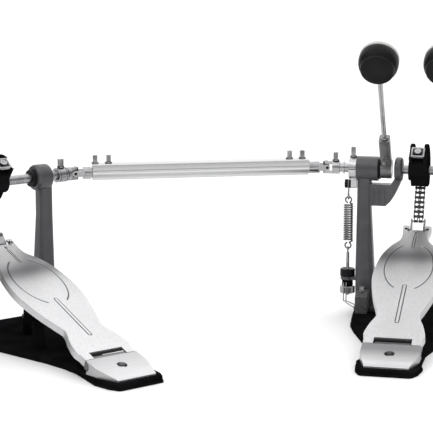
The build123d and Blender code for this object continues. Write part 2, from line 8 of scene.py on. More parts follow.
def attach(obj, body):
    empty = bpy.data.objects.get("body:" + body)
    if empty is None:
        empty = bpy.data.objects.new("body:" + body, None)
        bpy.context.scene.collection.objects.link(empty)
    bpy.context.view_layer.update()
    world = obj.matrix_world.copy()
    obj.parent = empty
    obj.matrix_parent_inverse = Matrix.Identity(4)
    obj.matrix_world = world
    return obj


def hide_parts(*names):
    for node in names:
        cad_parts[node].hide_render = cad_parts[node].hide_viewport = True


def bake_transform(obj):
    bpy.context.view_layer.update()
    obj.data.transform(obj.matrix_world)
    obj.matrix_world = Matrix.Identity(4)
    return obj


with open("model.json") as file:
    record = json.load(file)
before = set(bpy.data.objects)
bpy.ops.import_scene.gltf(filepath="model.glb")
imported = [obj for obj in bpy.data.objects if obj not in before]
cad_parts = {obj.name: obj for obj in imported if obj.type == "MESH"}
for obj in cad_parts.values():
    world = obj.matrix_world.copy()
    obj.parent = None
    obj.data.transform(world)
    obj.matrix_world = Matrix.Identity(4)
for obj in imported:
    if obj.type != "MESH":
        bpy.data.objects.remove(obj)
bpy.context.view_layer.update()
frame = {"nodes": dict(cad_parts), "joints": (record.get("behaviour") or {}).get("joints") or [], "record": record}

# Double bass drum pedal. Lengths below are millimetres and are scaled to metres when a mesh is made.
MM = 0.001
AXLE_Z = 191.7
BOARD_ANGLE, BOARD_LENGTH, BOARD_TOP_Z = 21.5, 262.0, 23.45
HINGE_Y, HINGE_Z = -250.0, 16.5
SPRING_X, SPRING_EYE_Z = 91.5, 83.6
HOLDER_X = {"left": -42.2, "main": 38.0}
BEATER_LEAN, BEATER_RADIUS = 33.0, 175.0
PLATE_R, PLATE_ANGLE = 30.6, 128.0      # the chain's clamp plate on a cam
TUBE_START, TUBE_END, TUBE_R, TUBE_BORE = 24.0, 306.0, 9.6, 6.5
TUBE_TOP, TUBE_FOOT = 12.4, -10.0       # reach of the tube's painted highlight and shade bands above and below the shaft's axis


# ---- frames read from the joints ----------------------------------------------------------------
def joint(name):
    """A joint of the frame, by its name."""
    return next(j for j in frame["joints"] if j["name"] == name)


def frame_from(origin, x_axis):
    """A frame with the given X axis and Z up; origin in metres."""
    x = Vector(x_axis).normalized()
    z = Vector((0, 0, 1))
    y = z.cross(x)
    rotation = Matrix((x, y, z)).transposed().to_4x4()
    return Matrix.Translation(origin) @ rotation


def pedal_frame(axle_joint):
    """A pedal's own frame: on the floor under its axle, X along the axle."""
    j = joint(axle_joint)
    position = Vector(j["pos_m"])
    position.z = 0
    return frame_from(position, [-a for a in j["axis"]])


MAIN = pedal_frame("main_axle_turn")
SLAVE = pedal_frame("slave_axle_turn")
SHAFT = frame_from(Vector(joint("drive_tube_turn")["pos_m"]), joint("drive_tube_turn")["axis"])


def turned(angle, axis, about):
    """A turn in degrees about an axis through a point, in millimetres of a local frame."""
    p = Vector(about) * MM
    return Matrix.Translation(p) @ Matrix.Rotation(radians(angle), 4, axis) @ Matrix.Translation(-p)


# ---- materials ----------------------------------------------------------------------------------
class Nodes:
    """A short way to wire up one material."""

    def __init__(self, name, color, metallic, roughness, **sockets):
        self.material = bpy.data.materials.new(name)
        self.material.use_nodes = True
        self.tree = self.material.node_tree
        self.shader = self.tree.nodes["Principled BSDF"]
        self.shader.inputs["Base Color"].default_value = (*color, 1)
        self.shader.inputs["Metallic"].default_value = metallic
        self.shader.inputs["Roughness"].default_value = roughness
        for socket, value in sockets.items():
            self.shader.inputs[socket.replace("_", " ")].default_value = value
        self.coords = self.tree.nodes.new("ShaderNodeTexCoord").outputs["Object"]

    def add(self, kind, inputs=(), **settings):
        """A new node with its inputs linked or set."""
        node = self.tree.nodes.new(kind)
        for key, value in settings.items():
            setattr(node, key, value)
        for key, value in dict(inputs).items():
            if isinstance(value, bpy.types.NodeSocket):
                self.tree.links.new(value, node.inputs[key])
            else:
                node.inputs[key].default_value = value
        return node

    def place(self, turn=0.0, tilt=0.0, scale=(1, 1, 1)):
        """Object coordinates turned about Z, then tilted about X, then stretched."""
        first = self.add("ShaderNodeMapping", {"Vector": self.coords, "Rotation": (0, 0, radians(-turn))})
        second = self.add("ShaderNodeMapping", {"Vector": first.outputs[0],
                                                "Rotation": (radians(-tilt), 0, 0), "Scale": scale})
        return second.outputs[0]

    def noise(self, scale, detail=4.0, vector=None, rough=0.5):
        """A 0..1 noise pattern; its scale is in waves per metre."""
        node = self.add("ShaderNodeTexNoise", {"Vector": vector or self.coords, "Scale": scale,
                                               "Detail": detail, "Roughness": rough})
        return node.outputs["Fac"]

    def spread(self, value, low, high, start=0.3, end=0.7):
        """Maps a 0..1 pattern to a range of numbers."""
        node = self.add("ShaderNodeMapRange", {"Value": value, "From Min": start, "From Max": end,
                                               "To Min": low, "To Max": high})
        return node.outputs["Result"]

    def mix(self, factor, a, b):
        """A colour between a and b."""
        node = self.add("ShaderNodeMix", data_type="RGBA")
        for key, value in (("Factor", factor), ("A", a), ("B", b)):
            socket = [s for s in node.inputs if s.name == key and s.enabled][0]
            if isinstance(value, bpy.types.NodeSocket):
                self.tree.links.new(value, socket)
            else:
                socket.default_value = (*value, 1) if key != "Factor" else value
        return [s for s in node.outputs if s.enabled][0]

    def set(self, socket, value):
        self.tree.links.new(value, self.shader.inputs[socket])

    def bump(self, height, strength, distance):
        node = self.add("ShaderNodeBump", {"Height": height, "Strength": strength, "Distance": distance})
        self.set("Normal", node.outputs["Normal"])


def cast_grey():
    """Satin dark grey paint over a casting, with fine orange peel and a slightly cloudy colour."""
    m = Nodes("cast_grey_paint", (0.085, 0.085, 0.092), 0.55, 0.42)
    cloud = m.noise(38.0)
    base = m.mix(m.spread(cloud, 0.0, 1.0), (0.074, 0.074, 0.081), (0.1, 0.1, 0.107))
    m.set("Base Color", base)
    m.set("Roughness", m.spread(m.noise(120.0), 0.36, 0.5))
    m.bump(m.noise(1500.0, 2.0), 0.18, 0.0004)
    return m.material


def spur_grey():
    """The rough sand-cast skin of the spur blocks."""
    m = Nodes("rough_cast_grey", (0.06, 0.06, 0.064), 0.4, 0.55)
    grain = m.noise(520.0, 3.0)
    m.set("Base Color", m.mix(m.spread(grain, 0.0, 1.0), (0.025, 0.025, 0.027), (0.15, 0.15, 0.155)))
    m.set("Roughness", m.spread(grain, 0.42, 0.68))
    m.bump(grain, 0.7, 0.0012)
    return m.material


def black_coat():
    """Black powder coat: pebbled, satin, with faint dust in it."""
    m = Nodes("black_powder_coat", (0.006, 0.006, 0.0065), 0.0, 0.4, Specular_IOR_Level=0.0)
    dust = m.noise(24.0, 6.0)
    base = m.mix(m.spread(dust, 0.0, 1.0), (0.004, 0.004, 0.0045), (0.011, 0.011, 0.012))
    m.set("Base Color", base)
    m.set("Roughness", m.spread(m.noise(90.0), 0.33, 0.5))
    m.bump(m.noise(1300.0, 2.0), 0.25, 0.0004)
    return m.material


def rubber():
    """Moulded black rubber, matte and slightly grainy."""
    m = Nodes("black_rubber", (0.007, 0.007, 0.007), 0.0, 0.72, Specular_IOR_Level=0.0)
    cloud = m.spread(m.noise(45.0), 0.0, 1.0)
    m.set("Base Color", m.mix(cloud, (0.004, 0.004, 0.004), (0.012, 0.012, 0.012)))
    m.set("Roughness", m.spread(m.noise(160.0), 0.62, 0.82))
    m.bump(m.noise(900.0, 3.0), 0.4, 0.0004)
    return m.material


def board_aluminium(name, turn):
    """Light aluminium, brushed along the board, with painted shade in a soft band and towards the toe, and painted
    shade in the pressed lines.
    """
    m = Nodes(name, (0.55, 0.55, 0.56), 0.85, 0.36)
    lines = m.noise(900.0, 3.0, m.place(turn, BOARD_ANGLE, (1.0, 0.035, 1.0)))
    streaks = m.mix(m.spread(lines, 0.0, 1.0), (0.50, 0.50, 0.508), (0.66, 0.66, 0.668))
    clouded = m.mix(m.spread(m.noise(16.0, 4.0), 0.0, 0.3), streaks, (0.44, 0.44, 0.446))
    # Painted shade from two point attributes of the board: a soft dark band with a darker toe, and dark pressed
    # lines.
    painted_shading = m.add("ShaderNodeAttribute", attribute_name="painted_shading").outputs["Fac"]
    groove_shade = m.add("ShaderNodeAttribute", attribute_name="groove_shade").outputs["Fac"]
    painted_shade_colour = m.mix(m.spread(painted_shading, 1.0, 0.0, 0.3, 1.0), clouded, (0.13, 0.13, 0.135))
    # Painted shade in the pressed lines darkens the colour last.
    m.set("Base Color", m.mix(m.spread(groove_shade, 0.0, 0.85, 0.15, 0.8), painted_shade_colour, (0.05, 0.05, 0.052)))
    m.set("Roughness", m.spread(lines, 0.3, 0.46))
    m.bump(lines, 0.1, 0.00025)
    return m.material


def heel_aluminium(name, turn, near, far):
    """Aluminium brushed across, with painted shade graded along the block between the hinge and the player's end.
    """
    m = Nodes(name, (0.55, 0.55, 0.56), 0.85, 0.34)
    lines = m.noise(900.0, 3.0, m.place(turn, 0.0, (0.035, 1.0, 1.0)))
    split = m.add("ShaderNodeSeparateXYZ", {"Vector": m.place(turn)})
    # Painted shade: the colour darkens along the block, from the near position to the far one.
    along = m.spread(split.outputs["Y"], 0.0, 1.0, near, far)
    streaks = m.mix(m.spread(lines, 0.0, 1.0), (0.5, 0.5, 0.508), (0.64, 0.64, 0.648))
    m.set("Base Color", m.mix(along, streaks, (0.2, 0.2, 0.205)))
    m.set("Roughness", m.spread(lines, 0.28, 0.42))
    m.bump(lines, 0.1, 0.00025)
    return m.material


def tube_aluminium():
    """Satin anodised aluminium drawn along the shaft, with painted highlight and shade bands by height that follow
    the tube's section.
    """
    m = Nodes("satin_tube_aluminium", (0.6, 0.6, 0.61), 0.85, 0.3)
    turn = degrees(atan2(SHAFT[1][0], SHAFT[0][0]))
    lines = m.noise(1100.0, 3.0, m.place(turn, 0.0, (0.003, 1.0, 1.0)))
    # Painted highlights and shade: a brightness ramp by height across the tube's section.
    height = m.add("ShaderNodeSeparateXYZ", {"Vector": m.coords}).outputs["Z"]
    level = m.spread(height, 0.0, 1.0, (AXLE_Z + TUBE_FOOT) * MM, (AXLE_Z + TUBE_TOP) * MM)
    ramp = m.add("ShaderNodeValToRGB", {"Fac": level})
    painted_light_bands = [(TUBE_FOOT, 0.34), (-7, 0.66), (-4, 0.46), (-1.2, 0.5), (0.2, 0.86), (2.6, 0.82), (3.0, 0.2),
             (3.5, 0.22), (3.9, 0.6), (9.5, 0.5), (11.2, 0.62), (TUBE_TOP, 0.4)]
    elements = ramp.color_ramp.elements
    while len(elements) < len(painted_light_bands):
        elements.new(0.5)
    for element, (z, painted_shading) in zip(elements, painted_light_bands):
        element.position = (z - TUBE_FOOT) / (TUBE_TOP - TUBE_FOOT)
        element.color = (painted_shading, painted_shading, painted_shading * 1.01, 1)
    m.set("Base Color", m.mix(m.spread(lines, 0.0, 0.12), ramp.outputs["Color"], (0.72, 0.72, 0.73)))
    m.set("Roughness", m.spread(lines, 0.26, 0.34))
    m.bump(lines, 0.04, 0.0002)
    return m.material


def chrome():
    """Bright plating, smeared by handling."""
    m = Nodes("chrome_plate", (0.78, 0.78, 0.8), 1.0, 0.14)
    smear = m.noise(70.0, 5.0)
    m.set("Base Color", m.mix(m.spread(smear, 0.0, 1.0), (0.3, 0.3, 0.306), (0.46, 0.46, 0.47)))
    m.set("Roughness", m.spread(smear, 0.09, 0.24))
    m.bump(m.noise(400.0, 3.0), 0.05, 0.0002)
    return m.material


def satin_steel(name="satin_steel", low=(0.26, 0.26, 0.27), high=(0.4, 0.4, 0.41), rough=(0.22, 0.38)):
    """Plated steel with a soft sheen and tiny scratches."""
    m = Nodes(name, low, 1.0, rough[0])
    cloud = m.noise(110.0, 5.0)
    m.set("Base Color", m.mix(m.spread(cloud, 0.0, 1.0), low, high))
    m.set("Roughness", m.spread(m.noise(380.0, 3.0), *rough))
    m.bump(m.noise(1700.0, 2.0), 0.12, 0.0002)
    return m.material


def chain_steel():
    """Dark oiled chain plates, bright where they rub."""
    m = Nodes("oiled_chain_steel", (0.035, 0.035, 0.037), 0.85, 0.3)
    wear = m.spread(m.noise(420.0), 0.0, 1.0)
    m.set("Base Color", m.mix(wear, (0.022, 0.022, 0.024), (0.11, 0.11, 0.112)))
    m.set("Roughness", m.spread(m.noise(500.0), 0.22, 0.42))
    m.bump(m.noise(1500.0, 2.0), 0.15, 0.0002)
    return m.material


def black_plastic(name="satin_black_plastic", rough=(0.3, 0.45)):
    """Moulded black plastic with a fine texture."""
    m = Nodes(name, (0.01, 0.01, 0.01), 0.0, rough[0], Specular_IOR_Level=0.1)
    cloud = m.spread(m.noise(30.0), 0.0, 1.0)
    m.set("Base Color", m.mix(cloud, (0.006, 0.006, 0.0065), (0.013, 0.013, 0.014)))
    m.set("Roughness", m.spread(m.noise(140.0, 3.0), *rough))
    m.bump(m.noise(1100.0, 2.0), 0.16, 0.0003)
    return m.material


def felt():
    """Pressed wool felt: pale, matte and fibrous."""
    m = Nodes("pressed_felt", (0.62, 0.62, 0.6), 0.0, 0.95, Sheen_Weight=0.4, Sheen_Roughness=0.6)
    fibre = m.noise(1600.0, 6.0, rough=0.7)
    m.set("Base Color", m.mix(m.spread(fibre, 0.0, 1.0), (0.5, 0.5, 0.48), (0.74, 0.74, 0.72)))
    m.set("Roughness", m.spread(m.noise(300.0), 0.86, 1.0))
    m.bump(fibre, 0.8, 0.0008)
    return m.material


CAST, SPUR, BLACK, RUBBER = cast_grey(), spur_grey(), black_coat(), rubber()
SLAVE_TURN = degrees(atan2(SLAVE[1][0], SLAVE[0][0]))
BOARD_MAT = {"main": board_aluminium("board_aluminium_main", 0.0),
             "slave": board_aluminium("board_aluminium_slave", SLAVE_TURN)}
HEEL_MAT = {"main": heel_aluminium("heel_aluminium_main", 0.0, -0.292, -0.262),
            "slave": heel_aluminium("heel_aluminium_slave", SLAVE_TURN, -0.06, 0.06)}
TUBE, CHROME, STEEL, CHAIN = tube_aluminium(), chrome(), satin_steel(), chain_steel()
HOLDER = satin_steel("holder_metal", (0.16, 0.16, 0.165), (0.25, 0.25, 0.255), (0.32, 0.46))
SPRING = satin_steel("spring_wire", (0.13, 0.13, 0.135), (0.26, 0.26, 0.265), (0.22, 0.36))
BRIGHT = satin_steel("bright_steel", (0.42, 0.42, 0.43), (0.58, 0.58, 0.59), (0.16, 0.3))
BOLT = satin_steel("bolt_steel", (0.14, 0.14, 0.143), (0.34, 0.34, 0.345), (0.18, 0.34))
DARK = satin_steel("blackened_steel", (0.02, 0.02, 0.021), (0.05, 0.05, 0.051), (0.3, 0.45))
PLASTIC, FELT = black_plastic(), felt()
GLOSS = black_plastic("beater_head_plastic", (0.34, 0.46))


# ---- mesh helpers -------------------------------------------------------------------------------
def new_piece(name, verts, faces, material, place=MAIN, smooth_below=35.0):
    """A mesh object from points in millimetres of a local frame."""
    mesh = bpy.data.meshes.new(name)
    mesh.from_pydata([place @ (Vector(v) * MM) for v in verts], [], faces)
    mesh.materials.append(material)
    mesh.update()
    piece = bpy.data.objects.new(name, mesh)
    bpy.context.scene.collection.objects.link(piece)
    tidy_mesh(mesh, smooth_below)
    return piece


def tidy_mesh(mesh, smooth_below):
    """Outward normals, smooth faces, and sharp edges above an angle."""
    bm = bmesh.new()
    bm.from_mesh(mesh)
    bmesh.ops.recalc_face_normals(bm, faces=bm.faces)
    for face in bm.faces:
        face.smooth = True
    for e in bm.edges:
        e.smooth = len(e.link_faces) == 2 and e.calc_face_angle(0) < radians(smooth_below)
    bm.to_mesh(mesh)
    bm.free()


def joined(parts):
    """Puts several (verts, faces) lists together."""
    verts, faces = [], []
    for v, f in parts:
        start = len(verts)
        verts += [tuple(p) for p in v]
        faces += [tuple(i + start for i in face) for face in f]
    return verts, faces


def box(xs, ys, zs):
    """A block between two values of each coordinate."""
    corners = [(x, y, z) for x in xs for y in ys for z in zs]
    return corners, [(0, 1, 3, 2), (4, 6, 7, 5), (0, 4, 5, 1), (2, 3, 7, 6), (0, 2, 6, 4), (1, 5, 7, 3)]


def ring_faces(first, second, count):
    """Faces between two rings of points, given where each ring starts."""
    faces = []
    for k in range(count):
        j = (k + 1) % count
        faces.append((first + k, first + j, second + j, second + k))
    return faces


def lathe(profile, centre=(0, 0, 0), axis="Z", sides=48):
    """Turns (radius, height) points about an axis; the ends are closed where the radius isn't 0."""
    verts, faces = [], []
    for r, h in profile:
        for k in range(sides):
            a = 2 * pi * k / sides
            c, s = r * cos(a), r * sin(a)
            local = {"X": (h, c, s), "Y": (s, h, c), "Z": (c, s, h)}[axis]
            verts.append(tuple(p + q for p, q in zip(local, centre)))
    rows = len(profile)
    for i in range(rows - 1):
        faces += ring_faces(i * sides, (i + 1) * sides, sides)
    faces.append(tuple(range(sides)))
    faces.append(tuple(range((rows - 1) * sides, rows * sides)))
    return verts, faces


def tube_along(points, radius, sides=12, closed=False):
    """A round wire along points, with its rings carried along without twist."""
    pts = [Vector(p) for p in points]
    count = len(pts)
    verts, faces = [], []
    normal = None
    for i, p in enumerate(pts):
        before = pts[i - 1] if (i or closed) else pts[i]
        after = pts[(i + 1) % count] if (i < count - 1 or closed) else pts[i]
        way = (after - before).normalized()
        if normal is None:
            normal = way.orthogonal().normalized()
        normal = (normal - way * normal.dot(way)).normalized()
        side = way.cross(normal)
        for k in range(sides):
            a = 2 * pi * k / sides
            verts.append(tuple(p + (normal * cos(a) + side * sin(a)) * radius))
    for i in range(count if closed else count - 1):
        faces += ring_faces(i * sides, (i + 1) % count * sides, sides)
    if not closed:
        faces.append(tuple(range(sides)))
        faces.append(tuple(range((count - 1) * sides, count * sides)))
    return verts, faces


def solids_of(bm):
    """The separate solids of a mesh, as lists of faces."""
    left, solids = set(bm.faces), []
    while left:
        stack, solid = [left.pop()], []
        while stack:
            face = stack.pop()
            solid.append(face)
            for e in face.edges:
                for other in e.link_faces:
                    if other in left:
                        left.remove(other)
                        stack.append(other)
        solids.append(solid)
    return solids


def small_part_material(solid, materials):
    """Slot of a solid that is a key bolt, a beater holder's clamp screw or a roller, told by its size."""
    points = [v.co for face in solid for v in face.verts]
    size = [(max(p[k] for p in points) - min(p[k] for p in points)) / MM for k in range(3)]
    if max(size[0], size[1]) < 11.5 and size[2] > 11.8 and "bolt" in materials:
        return materials.index("bolt")
    if size[0] < 9 and size[1] < 16 and "clamp" in materials:
        return materials.index("clamp")
    if size[2] < 11.8 and "roller" in materials and min(size[0], size[1]) < 11:
        return materials.index("roller")
    return 0


SHARP_EDGE = 28.0        # edges that turn more than this get a small bevel


def refined(node, material, width, segments, extras):
    """A finished copy of a CAD node: merged, with small rounded edges and smooth curved faces."""
    source = frame["nodes"][node]
    bm = bmesh.new()
    bm.from_mesh(source.data)
    bmesh.ops.remove_doubles(bm, verts=bm.verts, dist=1e-6)
    bmesh.ops.dissolve_limit(bm, angle_limit=radians(0.6), verts=bm.verts, edges=bm.edges)
    for face in bm.faces:
        face.smooth = True
        face.material_index = 0
    for solid in solids_of(bm) if extras else []:
        slot = small_part_material(solid, ["", *(key for key, m in extras)])
        for face in solid:
            face.material_index = slot
    mesh = bpy.data.meshes.new(node + "_finish")
    bm.to_mesh(mesh)
    bm.free()
    if "custom_normal" in mesh.attributes:
        mesh.attributes.remove(mesh.attributes["custom_normal"])
    for m in (material, *(m for key, m in extras)):
        mesh.materials.append(m)
    piece = bpy.data.objects.new(node + "_finish", mesh)
    bpy.context.scene.collection.objects.link(piece)
    bevel = piece.modifiers.new("rounded_edges", "BEVEL")
    bevel.width = width * MM
    bevel.segments = segments
    bevel.limit_method = "ANGLE"
    bevel.angle_limit = radians(SHARP_EDGE)
    bevel.harden_normals = True
    bevel.miter_outer = "MITER_ARC"
    return piece


def finish_node(node, material, width=0.4, segments=2, extras=()):
    """Shows a CAD node as its finished copy, on the same body."""
    piece = refined(node, material, width, segments, extras)
    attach(piece, body_of_node(node))
    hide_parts(node)
    return piece


def body_of_node(node):
    """The body that carries a CAD node."""
    bodies = frame["record"]["behaviour"]["bodies"]
    return next(body for body, nodes in bodies.items() if node in nodes)


def stand_for(piece, node):
    """A new piece takes the place of a CAD node, on the same body."""
    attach(piece, body_of_node(node))
    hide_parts(node)


# ---- footboards ---------------------------------------------------------------------------------
BOARD_EDGE = [(34.8, 0.6), (34.8, 9), (36.6, 20), (32.5, 40), (26.2, 60), (29.5, 74), (36, 98), (41, 124),
              (42.8, 146), (41, 170), (36.5, 194), (28.5, 213), (17.8, 232), (18.3, 262)]
WINDOW_HALF, WINDOW_DEPTH = 22.6, 12.6
NOTCH_HALF, NOTCH_START = 10.4, 251.0
SKIRT, ROLL, SHEET = 8.8, 1.5, 2.6
HEEL_HALF = 34.8
PRESSED_RIB, PRESSED_SLOT = (46.5, 123.5), (209.0, 238.0)      # long pressed lines, from the hinge
TOE_HOLE = 244.5
RING_V, RING_HALF_WIDE, RING_HALF_LONG = 166.0, 30.0, 52.0     # curved lines round the ball of the foot


def half_width(v):
    """Half the board's width at a distance from the hinge, smooth through the edge points."""
    points = BOARD_EDGE
    if v <= points[1][1]:
        return points[0][0]
    for i in range(1, len(points) - 1):
        (u0, v0), (u1, v1) = points[i], points[i + 1]
        if v <= v1:
            ub, vb = points[i - 1]
            ua, va = points[i + 2] if i + 2 < len(points) else (u1 + 0.2, v1 + 10)
            step = v1 - v0
            slope0 = (u1 - ub) / (v1 - vb) * step if i > 1 else 0.0
            slope1 = (ua - u0) / (va - v0) * step
            if i + 2 >= len(points) - 1:
                slope1 = 0.02 * step
            t = (v - v0) / step
            return ((2 * t**3 - 3 * t**2 + 1) * u0 + (t**3 - 2 * t**2 + t) * slope0
                    + (3 * t**2 - 2 * t**3) * u1 + (t**3 - t**2) * slope1)
    return points[-1][0]


def board_marks(u, v):
    """How deep the pressed lines are here (0..1), which also sets their painted shade, and the raised or sunk
    height in millimetres.
    """
    from_rib = sqrt(u**2 + max(0.0, PRESSED_RIB[0] - v, v - PRESSED_RIB[1]) ** 2)
    line = exp(-((abs(from_rib - 2.2) / 0.6) ** 4))
    from_slot = sqrt(u**2 + max(0.0, PRESSED_SLOT[0] - v, v - PRESSED_SLOT[1]) ** 2)
    line = max(line, exp(-((abs(from_slot - 1.4) / 0.5) ** 4)))
    from_hole = sqrt(u**2 + max(0.0, abs(v - TOE_HOLE) - 1.2) ** 2)
    line = max(line, exp(-((from_hole / 1.6) ** 4)))
    ring = sqrt((u / RING_HALF_WIDE) ** 2 + ((v - RING_V) / RING_HALF_LONG) ** 2)
    if ring > 0.6:
        ends = min(1.0, max(0.0, (abs(u) - 11.0) / 3.0))
        line = max(line, ends * exp(-((abs(ring - 1.0) * 29.0 / 0.7) ** 4)))
    raised = 0.35 * exp(-((ring / 0.9) ** 4))
    return line, raised - 0.75 * line + (0.25 if from_rib < 2.2 else 0.0)


def painted_board_shade(u, v):
    """Painted shade on the board's colour: none at the heel, a soft dark band of painted reflection under the ball
    of the foot, and darker towards the toe.
    """
    band = exp(-(((v - 190.0 - 0.06 * u) / 17.0) ** 2))
    upper = 1 / (1 + exp(-(v - 165.0) / 12.0))
    return 1.0 - 0.42 * band - 0.22 * upper


def board_row(v, wide, lines, window, notch):
    """One cross-section of the board: skirt, rolled edge, top face, rolled edge, skirt."""
    roll = [radians(18 * k) for k in range(1, 6)]
    flat = wide - ROLL
    edge = [(flat + ROLL * sin(a), -ROLL * (1 - cos(a))) for a in roll]
    edge += [(wide, -SKIRT * 0.5), (wide, -SKIRT)]
    row = [(-u, v, w) for u, w in reversed(edge)]
    for s in lines:
        u = s * flat
        if abs(abs(s) - window) < 1e-6 and v <= WINDOW_DEPTH + 0.01:
            u = WINDOW_HALF * (1 if s > 0 else -1)
        if abs(abs(s) - notch) < 1e-6 and v >= NOTCH_START - 0.01:
            u = NOTCH_HALF * (1 if s > 0 else -1)
        row.append((u, v, board_marks(u, v)[1]))
    return row + [(u, v, w) for u, w in edge]


def board_tilt():
    """From the board's own plane (across, along, up) to its pedal's frame."""
    hinge = Matrix.Translation(Vector((0, HINGE_Y, BOARD_TOP_Z)) * MM)
    return hinge @ Matrix.Rotation(radians(BOARD_ANGLE), 4, "X")


def board_faces(steps, lines, count, window, notch):
    """Faces of the board's grid, leaving out the heel window and the toe notch."""
    first = (count - len(lines)) // 2
    faces = []
    for i in range(len(steps) - 1):
        middle = (steps[i] + steps[i + 1]) / 2
        for k in range(count - 1):
            line = k - first
            inside = 0 <= line < len(lines) - 1
            centre = abs(lines[line] + lines[line + 1]) / 2 if inside else 1.0
            in_window = middle < WINDOW_DEPTH and centre < window
            in_notch = middle > NOTCH_START and centre < notch
            if inside and (in_window or in_notch):
                continue
            a, b = i * count + k, (i + 1) * count + k
            faces.append((a, a + 1, b + 1, b))
    return faces


def board_mesh(name, place, material):
    """The pressed board as one sheet: top face, rolled edges and skirts, given thickness at the end."""
    window, notch = WINDOW_HALF / (HEEL_HALF - ROLL), NOTCH_HALF / (18.25 - ROLL)
    fine = {round(k / 210, 5) for k in range(-34, 35)}
    lines = sorted(fine | {round(k / 76, 5) for k in range(-76, 77)} | {window, -window, notch, -notch})
    steps = [0.6 + k * 0.8 for k in range(328)]
    steps = sorted({s for s in steps if s < BOARD_LENGTH} | {WINDOW_DEPTH, NOTCH_START, BOARD_LENGTH})
    rows = [board_row(v, half_width(v), lines, window, notch) for v in steps]
    faces = board_faces(steps, lines, len(rows[0]), window, notch)
    verts = [p for row in rows for p in row]
    piece = new_piece(name, verts, faces, material, place @ board_tilt(), 60.0)
    # Point attributes for the material: painted shade over the board, and painted shade in the pressed lines.
    for key, values in (("painted_shading", [painted_board_shade(u, v) for u, v, w in verts]),
                        ("groove_shade", [board_marks(u, v)[0] if w > -1 else 0.0 for u, v, w in verts])):
        attribute = piece.data.attributes.new(key, "FLOAT", "POINT")
        attribute.data.foreach_set("value", values)
    sheet = piece.modifiers.new("sheet_thickness", "SOLIDIFY")
    sheet.thickness = SHEET * MM
    sheet.offset = -1.0
    return piece


def hinge_lugs(name, place, material):
    """The two hinge eyes under the board's heel."""
    parts = []
    for side in (-1, 1):
        low, high = sorted((side * 22.2, side * 34.4))
        rim = [(3.0, low), (4.6, low), (5.1, low + 0.5), (5.1, high - 0.5), (4.6, high), (3.0, high)]
        parts.append(lathe(rim, (0, HINGE_Y, HINGE_Z), "X", 32))
        top = [(y, z) for y, z in ((HINGE_Y + 1, HINGE_Z + 4.4), (HINGE_Y + 9, HINGE_Z + 6.2),
                                   (HINGE_Y + 9, HINGE_Z + 2), (HINGE_Y + 4, HINGE_Z - 2))]
        corners = [(x, y, z) for x in (low + 0.2, high - 0.2) for y, z in top]
        sides = [(0, 4, 5, 1), (1, 5, 6, 2), (2, 6, 7, 3), (3, 7, 4, 0)]
        parts.append((corners, [(0, 1, 2, 3), (4, 7, 6, 5)] + sides))
    return new_piece(name, *joined(parts), material, place, 40.0)


def board_shade_and_screws(name, place):
    """A dark sheet behind the heel window as painted shade, and the two small screws at the toe."""
    # Painted shade: a thin dark sheet just under the board, behind the heel window.
    window_shade_sheet = box((-22.9, 22.9), (9.4, 13.4), (-3.4, -2.7))
    head = [(1.9, -0.4), (1.9, 0.25), (1.5, 0.5), (0.8, 0.5), (0.7, 0.1)]
    screws = [lathe(head, (u, 254.5, 0), sides=20) for u in (-13.9, 13.9)]
    return new_piece(f"{name}_board_shade_and_screws", *joined([window_shade_sheet] + screws), DARK, place @ board_tilt())


def build_boards():
    """Both footboards with their lugs, dark window shade sheets and toe screws, heel blocks and toe hooks."""
    for name, place in (("main", MAIN), ("slave", SLAVE)):
        node = f"{name}_footboard"
        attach(board_shade_and_screws(name, place), body_of_node(node))
        stand_for(board_mesh(f"{name}_board", place, BOARD_MAT[name]), node)
        stand_for(hinge_lugs(f"{name}_board_lugs", place, BOARD_MAT[name]), node)
        finish_node(f"{name}_heel_block", HEEL_MAT[name], 0.7, 3)
        finish_node(f"{name}_toe_hook", STEEL, 0.35)
        build_heel_screw(name, place)


HEEL_SCREW_Y = -272.0


def build_heel_screw(name, place):
    """Hinge pin, and a cap screw in a dark washer in the heel block."""
    heel_at = (0, HEEL_SCREW_Y, 0)
    node = f"{name}_heel_fasteners"
    pin = new_piece(f"{name}_hinge_pin", *lathe([(1.9, -34.2), (2.5, -33.6), (2.5, 33.6), (1.9, 34.2)],
                    (0, HINGE_Y, HINGE_Z), "X", 32), STEEL, place)
    cup = [(2.5, 3.2), (2.5, 12.7), (5.9, 12.9), (6.0, 14.6), (5.6, 15.4), (4.7, 15.4), (4.4, 14.4)]
    washer = new_piece(f"{name}_heel_washer", *lathe(cup, heel_at, "Z", 40), PLASTIC, place)
    head = [(3.9, 13.2), (4.1, 14.9), (3.6, 15.6), (1.4, 15.9), (1.3, 14.6)]
    screw = new_piece(f"{name}_heel_screw", *lathe(head, heel_at, "Z", 40), BRIGHT, place)
    for piece in (pin, washer, screw):
        stand_for(piece, node)


# ---- springs ------------------------------------------------------------------------------------
COIL_LOW, COIL_HIGH, COIL_R, COIL_TURNS = 95.0, 143.6, 5.55, 16
COIL_STEPS = 20          # points in one turn of the wire


def ring_points(radius, z, start, sweep, count=24):
    """Part of a ring in the XZ plane, about the spring's own axis."""
    turns = [radians(start + sweep * k / count) for k in range(count + 1)]
    return [(radius * cos(a), 0.0, z + radius * sin(a)) for a in turns]


def coil_points():
    """Close coil whose ends bend up and down into the hook rings."""
    points = ring_points(3.9, 88.6, 100, 330)
    count = COIL_TURNS * COIL_STEPS
    for k in range(count + 1):
        a = 2 * pi * k / COIL_STEPS
        points.append((COIL_R * cos(a), COIL_R * sin(a), COIL_LOW + (COIL_HIGH - COIL_LOW) * k / count))
    return points + ring_points(3.9, 149.3, -70, 330)


